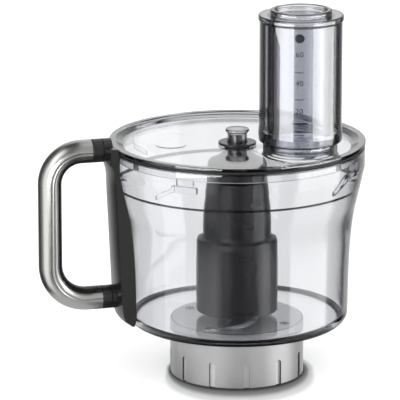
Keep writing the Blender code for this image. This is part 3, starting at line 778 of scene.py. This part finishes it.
def make_tubes():
    sleeve = turned("sleeve", rounded([
        (28.3, SLEEVE_TOP, 0.6), (28.3, 186), (28.9, 178, 6), (28.3, 173.2, 1.5), (26.8, 172, 0.5),
        (25.9, 172, 0.3), (25.9, SLEEVE_TOP, 0.4)]), ROUND, FEED_AXIS)
    finished(sleeve, "clear_tube", "lid", ["feed_tube"])
    pusher = turned("outer_pusher", rounded([
        (29.2, PUSHER_TOP, 0.9), (29.2, 256.9, 0.5), (23, 256.9, 0.6), (23, 164, 0.5),
        (20.2, 164, 0.4), (20.2, 166, 0.4), (21, 166.2, 0.3), (21, 258.2, 0.3), (20.2, 259, 0.3),
        (20.2, PUSHER_TOP, 0.4)]),
        ROUND, FEED_AXIS)
    finished(pusher, "clear_pusher", "large_pusher", ["large_pusher"])
    cup = turned("cup", [(0, 166.4)] + rounded([
        (17.8, 166.4, 1.2), (17.8, CUP_TOP, 0.5), (21, CUP_TOP, 0.7), (21, PUSHER_TOP + GAP, 0.4),
        (CUP_RADIUS, PUSHER_TOP + GAP, 0.4), (CUP_RADIUS, 164.4, 0.8)]) + [(0, 164.4)],
        ROUND, FEED_AXIS, closed=False)
    finished(cup, "clear_cup", "small_pusher", ["small_pusher"])


# ---------------------------------------------------------------- base


def slot_outline():
    half = 2.25
    return arc((0, 18.0 - half), half, 0, 180, 12) + [(-half, -2), (half, -2)]


def make_base():
    ring = turned("base_body", rounded([
        (BASE_RADIUS, BASE_TOP, 1.0), (BASE_RADIUS, 0, 0.6), (43.8, 0, 0.6), (43.8, 17.2),
        (42.3, 17.2), (42.3, DECK_UNDER, 0.8), (9.3, DECK_UNDER), (9.3, BASE_TOP, 0.3)]), FINE)
    tools = [prism("slot", slot_outline(), -2.5, 2.5, facing(BASE_RADIUS + 0.5, angle))
             for angle in round_about(12, math.radians(23))]
    for angle in round_about(4, math.pi / 4):
        tools.append(turned("hole", [(0, 40), (POST_RADIUS + GAP, 40), (POST_RADIUS + GAP, 32),
                                     (0, 32)], 32, beside(POST_ORBIT, angle), closed=False))
    boolean(ring, tools, "DIFFERENCE")
    finished(ring, "base_grey", "root", ["base_ring"])


# ---------------------------------------------------------------- knife


def make_knife():
    hub = turned("hub", [(0, HUB_TOP)] + rounded([
        (21.0, HUB_TOP, 0.7), (21.2, HUB_TOP - 1.2), (23.3, 119), (23.8, 99, 2), (25, 97, 1.5),
        (27.5, 95.4, 1), (HUB_BELL, 92.5, 1.5), (HUB_BELL, 45, 0.5), (26.1, 45, 0.4), (26.1, 92, 1),
        (20, 95, 1), (20, 108, 1), (16, 113, 1)]) + [(0, 113)], FINE, closed=False)
    tools = [turned("socket", [(0, 132), (4.8, 132), (4.8, 111), (0, 111)], 6, closed=False)]
    for _, azimuth, height, _ in BLADES:
        along = math.radians(azimuth)
        place = at(*beside(TANG_START, along)) @ Matrix.Rotation(along, 4, "Z")
        tools.append(prism("slit", [(-6, -9.3), (6, -9.3), (6, 9.3), (-6, 9.3)], height - GAP,
                           height + 1.5 + GAP, place))
    boolean(hub, tools, "DIFFERENCE")
    finished(hub, "knife_grey", "spindle", ["knife_hub"])
    cap = turned("drive_cap", [(0, 169)] + rounded([
        (3, 169, 0.6), (3, 159.8, 0.3), (9, 159.8, 0.8), (9, 156.5, 2), (13.5, 152.8, 4),
        (19.8, 149.8, 2), (20.6, 147.5, 1), (21, 139.3, 0.5)]) + [(0, 139.3)], FINE, closed=False)
    finished(cap, "knife_grey", "spindle", ["hub_cap"])
    for name, azimuth, height, tip in BLADES:
        steel = blade(name + "_steel", math.radians(azimuth), height, tip)
        finished(steel, "blade_steel", "spindle", [name], sharp=20)


def blade(name, along, height, tip):
    """A blade as a strip of sections from tang to point, its leading edge ground to a wedge."""
    thick, half, tang = 1.5, 9.0, 33.0
    sweep, steps, tang_steps = math.radians(-30), 28, 4
    shape = bmesh.new()
    rows = []
    for i in range(-tang_steps, steps + 1):
        share = max(i, 0) / steps
        if i > 0:
            radius = tang + (tip - tang) * share
        else:
            radius = TANG_START + (tang - TANG_START) * (i + tang_steps) / tang_steps
        middle = along + sweep * share ** 1.6
        width = max(half * (1 - share ** 2.2), 0.12)
        centre = Vector(polar(radius, middle))
        across = Vector((-math.sin(middle), math.cos(middle)))
        if i > 0:
            ground = min(4.0, width * 1.2) * min(1.0, i / 3)
            upper, lower = 0.18, 0.06
        else:
            ground, upper, lower = 0.3, thick, 0.0
        section = [(-width, 0.0), (-width, thick), (width - ground, thick), (width, upper),
                   (width, lower), (width - ground, 0.0)]
        rows.append([shape.verts.new(((BOWL_AXIS[0] + centre.x + across.x * u) * MM,
                                      (BOWL_AXIS[1] + centre.y + across.y * u) * MM,
                                      (height + v) * MM)) for u, v in section])
    for first, second in zip(rows, rows[1:]):
        for i in range(6):
            j = (i + 1) % 6
            shape.faces.new((first[i], first[j], second[j], second[i]))
    shape.faces.new(rows[0])
    shape.faces.new(rows[-1][::-1])
    bmesh.ops.recalc_face_normals(shape, faces=shape.faces)
    return from_bmesh(name, shape)


# ---------------------------------------------------------------- handle


def grip_path():
    """The grip's middle line as (distance from the bowl's axis, height), from its top end down."""
    steps = 22
    top = arc((GRIP_REACH - CORNER_TOP, ARM_TOP - CORNER_TOP), CORNER_TOP, 90, 0, steps)
    low = arc((GRIP_REACH - CORNER_LOW, ARM_LOW + CORNER_LOW), CORNER_LOW, 0, -90, steps)
    return [(104.3, ARM_TOP), (108, ARM_TOP)] + top + low + [(103, ARM_LOW), (98.1, ARM_LOW)]


def swept(name, section):
    """Sweeps a section along the grip's middle line. Section x points to the bowl side."""
    shape = bmesh.new()
    path = [Vector(p) for p in grip_path()]
    rows = []
    for i, point in enumerate(path):
        ahead = path[min(i + 1, len(path) - 1)] - path[max(i - 1, 0)]
        ahead.normalize()
        if i in (0, len(path) - 1):
            ahead = Vector((1, 0)) if i == 0 else Vector((-1, 0))
        inward = Vector((ahead.y, -ahead.x))
        rows.append([shape.verts.new(((BOWL_AXIS[0] - point.x - inward.x * u) * MM,
                                      (BOWL_AXIS[1] + v) * MM, (point.y + inward.y * u) * MM))
                     for u, v in section])
    count = len(section)
    for first, second in zip(rows, rows[1:]):
        for i in range(count):
            j = (i + 1) % count
            shape.faces.new((first[i], first[j], second[j], second[i]))
    shape.faces.new(rows[0])
    shape.faces.new(rows[-1][::-1])
    bmesh.ops.recalc_face_normals(shape, faces=shape.faces)
    return from_bmesh(name, shape)


def grip_section():
    """The metal shell: round, flat where the liner sits, with a fine groove down each side."""
    flat = GRIP_RADIUS - 3.4
    limit = math.degrees(math.acos(flat / GRIP_RADIUS))
    groove, width, depth = 87.0, 4.0, 0.45
    section = arc((0, 0), GRIP_RADIUS, limit, groove - width, 8)
    section.append(polar(GRIP_RADIUS - depth, math.radians(groove)))
    section += arc((0, 0), GRIP_RADIUS, groove + width, 360 - groove - width, 44)
    section.append(polar(GRIP_RADIUS - depth, math.radians(-groove)))
    section += arc((0, 0), GRIP_RADIUS, 360 - groove + width, 360 - limit, 8)
    return section


def make_handle():
    grip = swept("grip_shell", grip_section())
    finished(grip, "handle_metal", "root", ["handle_grip"], sharp=50)
    flat = GRIP_RADIUS - 3.4 + GAP
    limit = math.degrees(math.acos(flat / GRIP_RADIUS))
    strip = arc((0, 0), GRIP_RADIUS, -limit, limit, 16)
    finished(swept("liner", strip), "handle_dark", "root", ["grip_liner"], sharp=50)
    for name, near, far, height in (("upper_collar", 96.7, 104.0, ARM_TOP),
                                    ("lower_collar", 91.3, 97.8, ARM_LOW)):
        collar = lying(name + "_ring", near, far, height, 0.5)
        finished(collar, "handle_dark", "root", [name])
    make_back_plate()


def lying(name, near, far, height, corner=0.0):
    """A round bar of the grip's size along -X, between two distances from the bowl's axis."""
    profile = rounded([(0, far), (GRIP_RADIUS, far, corner), (GRIP_RADIUS, near, corner),
                       (0, near)])
    made = turned(name, profile, PLAIN, (0, 0), closed=False)
    made.data.transform(at(*BOWL_AXIS, height) @ Matrix.Rotation(-math.pi / 2, 4, "Y"))
    return made


def make_back_plate():
    outer = [(95, 168.5)] + smooth([(95, 158), (91.8, 147), (91.2, 133), (89.9, 106), (88.5, 75),
                                    (86.8, 49), (82, 42.4), (79.3, 41.4)], 4)
    inner = smooth([(77.9, 46), (78.7, 82), (80.4, 106), (82.4, 119.4), (84.8, 130), (87.2, 141),
                    (89, 150)], 4)
    rim = [(89, 150), (89, 163.4), (89.5, 164.2), (89.5, 168)]
    band = turned("bracket", outer + [(79.3, 41.4)] + inner + rim, FINE)
    side = 15.8
    trim = prism("trim", [(-130, -side), (-60, -side), (-60, side), (-130, side)], 20, 200,
                 at(*BOWL_AXIS))
    boolean(band, [trim], "INTERSECT")
    shoulders = [
        lying("shoulder_top", 90.4, 96.4, ARM_TOP),
        lying("shoulder_low", 83.5, 91.0, ARM_LOW),
    ]
    boolean(band, shoulders, "UNION")
    bevelled(band, 2.4, 35, 5)
    finished(band, "handle_dark", "root", ["handle_back_plate"])


# ---------------------------------------------------------------- marks


CUP_FACE = math.radians(-109)
MARK_THICK = 0.08
MARK_LIFT = 0.03


def wrapped(mesh, height):
    """Bends a flat mark, x along the wall and y up, round the outside of the measuring cup."""
    for vertex in mesh.vertices:
        angle = CUP_FACE + vertex.co.x / CUP_RADIUS
        x, y = polar(CUP_RADIUS + MARK_LIFT + vertex.co.z, angle)
        vertex.co = ((FEED_AXIS[0] + x) * MM, (FEED_AXIS[1] + y) * MM, (height + vertex.co.y) * MM)
    mesh.update()


def print_mark(name, columns, height):
    """A thin printed mark. Each column is (x, low, high), so that it bends with the wall."""
    shape = bmesh.new()
    rows = []
    for x, low, high in columns:
        corners = ((low, 0), (low, MARK_THICK), (high, MARK_THICK), (high, 0))
        rows.append([shape.verts.new((x, y, z)) for y, z in corners])
    for first, second in zip(rows, rows[1:]):
        for i in range(4):
            j = (i + 1) % 4
            shape.faces.new((first[i], second[i], second[j], first[j]))
    shape.faces.new(rows[0])
    shape.faces.new(rows[-1][::-1])
    bmesh.ops.recalc_face_normals(shape, faces=shape.faces)
    made = from_bmesh(name, shape)
    wrapped(made.data, height)
    finished(made, "print_dark", "small_pusher", [])


def print_number(name, words, size, height):
    data = bpy.data.curves.new(name, "FONT")
    data.body = words
    data.size = size
    data.extrude = MARK_THICK / 2
    data.align_x = "CENTER"
    data.align_y = "CENTER"
    made = added(name, data)
    bpy.context.view_layer.update()
    seen = made.evaluated_get(bpy.context.evaluated_depsgraph_get())
    mesh = bpy.data.meshes.new_from_object(seen)
    bpy.data.objects.remove(made, do_unlink=True)
    shape = bmesh.new()
    shape.from_mesh(mesh)
    bmesh.ops.remove_doubles(shape, verts=shape.verts, dist=0.001)
    bmesh.ops.recalc_face_normals(shape, faces=shape.faces)
    bmesh.ops.translate(shape, verts=shape.verts, vec=(0, 0, MARK_THICK / 2))
    made = from_bmesh(name, shape)
    wrapped(made.data, height)
    finished(made, "print_dark", "small_pusher", [])


def bar(width, thick):
    """The columns of a flat bar."""
    steps = 8
    return [(width * (i / steps - 0.5), -thick / 2, thick / 2) for i in range(steps + 1)]


def dot(radius):
    """The columns of a disc, with its two ends cut off very short."""
    cut, steps = 4, 24
    turns = [math.radians(cut + (180 - 2 * cut) * i / steps) for i in range(steps + 1)]
    return [(-radius * math.cos(t), -radius * math.sin(t), radius * math.sin(t)) for t in turns]


def make_marks():
    """Generic marks on the measuring cup: a dot, short ticks and plain numbers."""
    print_mark("mark_dot", dot(3.1), 247.8)
    for number, (words, height) in enumerate((("60", 236.7), ("40", 216.7), ("20", 197.3)), 1):
        print_number(f"mark_number_{number}", words, 5.2, height)
    for number, (width, thick, height) in enumerate(
        ((6, 0.5, 224.3), (6, 0.5, 205.6), (11, 1.3, 188.9), (6, 0.5, 180.6), (6, 0.5, 168.6)), 1,
    ):
        print_mark(f"mark_tick_{number}", bar(width, thick), height)


def carried_over():
    """Gives every CAD node that still shows its own procedural material."""
    slots = {part["node"]: part["material_slot"] for part in frame["record"]["subparts"]}
    for name, node in frame["nodes"].items():
        if node.hide_render:
            continue
        node.data.materials.clear()
        node.data.materials.append(MATERIALS[slots[name]])


# Cards beside the feed tube and round the grip: metres, as make_card takes them
GRIP_AXIS = (BOWL_AXIS[0] - GRIP_REACH, BOWL_AXIS[1])
TUBE_CARD_REACH = 0.35
TUBE_CARD_HEIGHTS = (0.094, 0.205)
GRIP_CARD_REACH = 0.12
GRIP_CARD_HEIGHTS = (-0.05, 0.20)
FLAG_REACH = 0.034
FLAG_HEIGHTS = (0.072, 0.152)
TRAY_SIDES = (-150, -64)

make_camera()
make_world()
make_floor()
make_lamp("key", azimuth=-35, height=1.2, distance=1.5, size=1.4, power=6)
make_card("left_card", FEED_AXIS, TUBE_CARD_REACH, TUBE_CARD_HEIGHTS, (-74, -20), 10.0)
make_card("right_card", FEED_AXIS, TUBE_CARD_REACH, TUBE_CARD_HEIGHTS, (31, 98), 9.0)
make_card("grip_card", GRIP_AXIS, GRIP_CARD_REACH, GRIP_CARD_HEIGHTS, (-62, -12), 1.45)
make_card("grip_flag", GRIP_AXIS, FLAG_REACH, FLAG_HEIGHTS, (22, 56), 0.05)
make_card("grip_flag_far", GRIP_AXIS, FLAG_REACH, FLAG_HEIGHTS, (68, 112), 0.03)
make_tray("tray", near=-140, far=260, height=2, level=0.75)
make_tray("roof", near=-130, far=62, height=300, level=0.04)
MATERIALS = make_materials()
make_bowl()
make_lid()
make_tubes()
make_base()
make_knife()
make_handle()
make_marks()
carried_over()
bpy.context.scene.view_settings.view_transform = "Standard"
bpy.context.scene.cycles.max_bounces = 40
bpy.context.scene.cycles.transmission_bounces = 40
bpy.context.scene.cycles.glossy_bounces = 12
